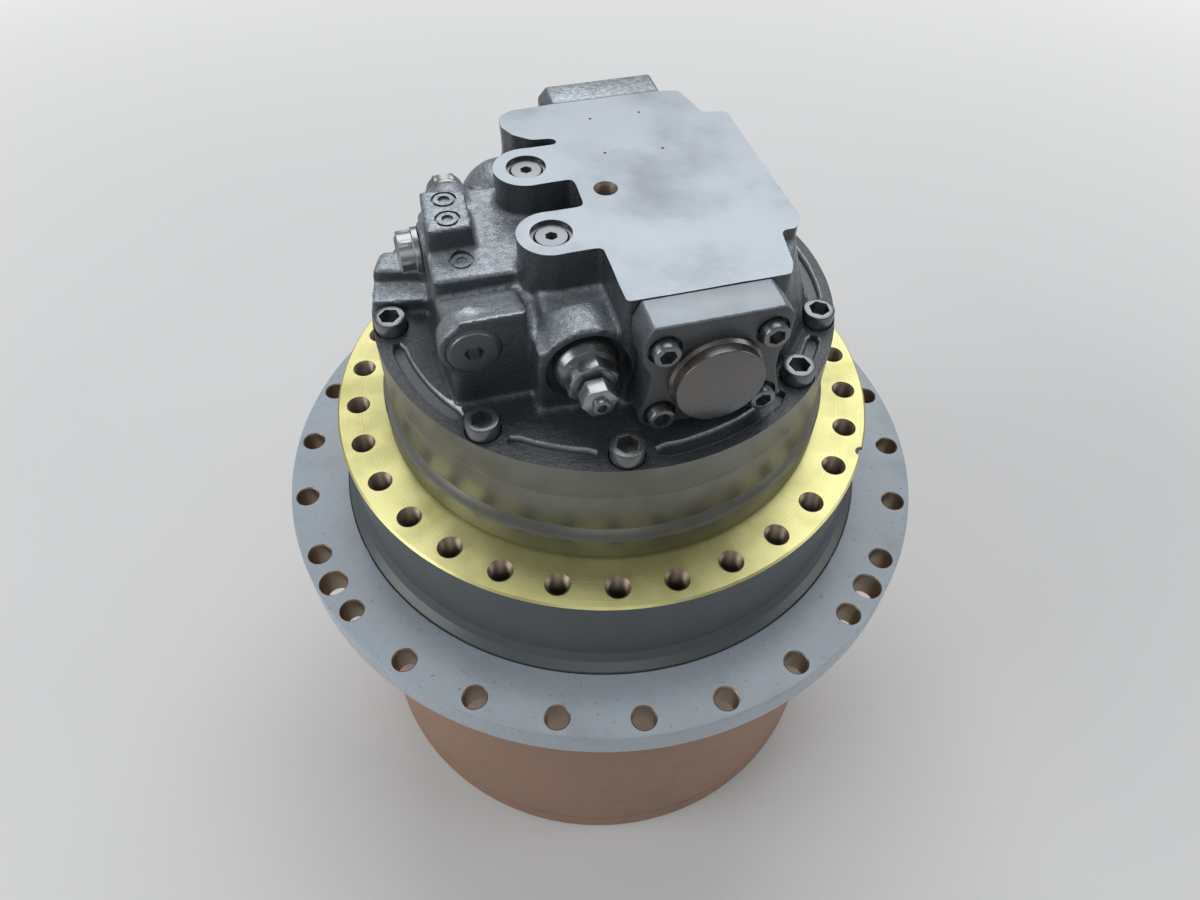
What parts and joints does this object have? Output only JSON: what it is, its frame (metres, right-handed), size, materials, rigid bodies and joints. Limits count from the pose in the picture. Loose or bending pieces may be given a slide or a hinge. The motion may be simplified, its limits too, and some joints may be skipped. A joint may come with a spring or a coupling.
{
  "type": "track final drive",
  "caption": "Crawler track final drive: hydraulic motor and valve block on a fixed flanged spindle, with a turning sprocket hub over two planetary gear stages.",
  "frame": {"origin": "middle of the gear cover's lower face, on the turning axis", "axes": "+Z is the turning axis, from the gear cover up to the valve block; +X and +Y are level, and the valve block is turned 16 degrees about +Z"},
  "size_m": [0.575, 0.575, 0.625],
  "materials": {
    "painted_hub": "satin grey paint",
    "primer_drum": "matt brown primer",
    "dark_casting": "rough casting under glossy dark paint",
    "machined_steel": "turned steel",
    "spindle_steel": "turned steel with a pale yellow coat",
    "plated_steel": "plated steel",
    "black_bolts": "black oxide steel",
    "gear_steel": "ground gear steel",
    "bearing_steel": "polished bearing steel",
    "bronze": "bearing bronze",
    "friction_lining": "friction lining"
  },
  "bodies": {
    "spindle_side": {"spindle_housing": "spindle_steel", "valve_casting": "dark_casting", "front_spool_cap": "dark_casting", "rear_spool_cap": "dark_casting", "relief_valve": "plated_steel", "front_port_plug": "plated_steel", "rear_port_plug": "plated_steel", "side_bore_plug": "dark_casting", "left_hex_plug": "plated_steel", "rear_hex_plug": "plated_steel", "motor_bolt_1": "black_bolts", "motor_bolt_2": "black_bolts", "motor_bolt_3": "black_bolts", "motor_bolt_4": "black_bolts", "motor_bolt_5": "black_bolts", "motor_bolt_6": "black_bolts", "motor_bolt_7": "black_bolts", "motor_bolt_8": "black_bolts", "swash_plate": "gear_steel", "valve_plate": "bronze", "shaft_bearing": "bearing_steel", "brake_steel_plate": "gear_steel", "output_carrier": "gear_steel", "output_pin_1": "bearing_steel", "output_pin_2": "bearing_steel", "output_pin_3": "bearing_steel", "lower_bearing_inner_race": "bearing_steel", "upper_bearing_inner_race": "bearing_steel", "bearing_nut": "gear_steel", "spindle_seal_ring": "machined_steel"},
    "hub": {"sprocket_hub": "painted_hub", "gear_cover": "primer_drum", "filler_plug": "plated_steel", "drain_plug": "plated_steel", "lower_bearing_outer_race": "bearing_steel", "upper_bearing_outer_race": "bearing_steel", "hub_seal_ring": "machined_steel"},
    "lower_roller_cage": {"lower_bearing_roller_cage": "bearing_steel"},
    "upper_roller_cage": {"upper_bearing_roller_cage": "bearing_steel"},
    "output_planet_a": {"output_planet_1": "gear_steel"},
    "output_planet_b": {"output_planet_2": "gear_steel"},
    "output_planet_c": {"output_planet_3": "gear_steel"},
    "input_carrier_group": {"input_carrier": "gear_steel", "input_pin_1": "bearing_steel", "input_pin_2": "bearing_steel", "input_pin_3": "bearing_steel", "output_sun_gear": "gear_steel"},
    "input_planet_a": {"input_planet_1": "gear_steel"},
    "input_planet_b": {"input_planet_2": "gear_steel"},
    "input_planet_c": {"input_planet_3": "gear_steel"},
    "motor_rotor": {"motor_shaft": "gear_steel", "input_sun_gear": "gear_steel", "cylinder_block": "gear_steel", "piston_set": "bronze", "brake_friction_disc": "friction_lining"},
    "brake_piston_group": {"brake_piston": "gear_steel"},
    "spool_group": {"counterbalance_spool": "machined_steel"}
  },
  "joints": [
    {"name": "hub_spin", "type": "hinge", "parent": "spindle_side", "child": "hub", "pos_m": [0, 0, 0], "axis": [0, 0, 1], "continuous": true},
    {"name": "lower_cage_spin", "type": "hinge", "parent": "spindle_side", "child": "lower_roller_cage", "pos_m": [0, 0, 0], "axis": [0, 0, 1], "continuous": true},
    {"name": "upper_cage_spin", "type": "hinge", "parent": "spindle_side", "child": "upper_roller_cage", "pos_m": [0, 0, 0], "axis": [0, 0, 1], "continuous": true},
    {"name": "output_planet_a_spin", "type": "hinge", "parent": "spindle_side", "child": "output_planet_a", "pos_m": [0.1365, 0, 0], "axis": [0, 0, 1], "continuous": true},
    {"name": "output_planet_b_spin", "type": "hinge", "parent": "spindle_side", "child": "output_planet_b", "pos_m": [-0.06825, 0.11821, 0], "axis": [0, 0, 1], "continuous": true},
    {"name": "output_planet_c_spin", "type": "hinge", "parent": "spindle_side", "child": "output_planet_c", "pos_m": [-0.06825, -0.11821, 0], "axis": [0, 0, 1], "continuous": true},
    {"name": "input_carrier_spin", "type": "hinge", "parent": "spindle_side", "child": "input_carrier_group", "pos_m": [0, 0, 0], "axis": [0, 0, 1], "continuous": true},
    {"name": "input_planet_a_spin", "type": "hinge", "parent": "input_carrier_group", "child": "input_planet_a", "pos_m": [0.126, 0, 0], "axis": [0, 0, 1], "continuous": true},
    {"name": "input_planet_b_spin", "type": "hinge", "parent": "input_carrier_group", "child": "input_planet_b", "pos_m": [-0.063, 0.10912, 0], "axis": [0, 0, 1], "continuous": true},
    {"name": "input_planet_c_spin", "type": "hinge", "parent": "input_carrier_group", "child": "input_planet_c", "pos_m": [-0.063, -0.10912, 0], "axis": [0, 0, 1], "continuous": true},
    {"name": "motor_shaft_spin", "type": "hinge", "parent": "spindle_side", "child": "motor_rotor", "pos_m": [0, 0, 0], "axis": [0, 0, 1], "continuous": true},
    {"name": "brake_release", "type": "slide", "parent": "spindle_side", "child": "brake_piston_group", "axis": [0, 0, 1], "range_m": [0, 0.003], "stiffness_N_per_m": 20000, "springref_m": -0.008},
    {"name": "spool_shift", "type": "slide", "parent": "spindle_side", "child": "spool_group", "axis": [-0.2756, 0.9613, 0], "range_m": [-0.01, 0.01], "stiffness_N_per_m": 5000}
  ],
  "couplings": [
    {"joint": "lower_cage_spin", "follows": "hub_spin", "ratio": 0.5305},
    {"joint": "upper_cage_spin", "follows": "hub_spin", "ratio": 0.5305},
    {"joint": "output_planet_a_spin", "follows": "hub_spin", "ratio": 2.8571},
    {"joint": "output_planet_b_spin", "follows": "hub_spin", "ratio": 2.8571},
    {"joint": "output_planet_c_spin", "follows": "hub_spin", "ratio": 2.8571},
    {"joint": "input_carrier_spin", "follows": "hub_spin", "ratio": -3.3333},
    {"joint": "input_planet_a_spin", "follows": "hub_spin", "ratio": 10.833},
    {"joint": "input_planet_b_spin", "follows": "hub_spin", "ratio": 10.833},
    {"joint": "input_planet_c_spin", "follows": "hub_spin", "ratio": 10.833},
    {"joint": "motor_shaft_spin", "follows": "hub_spin", "ratio": -25}
  ]
}
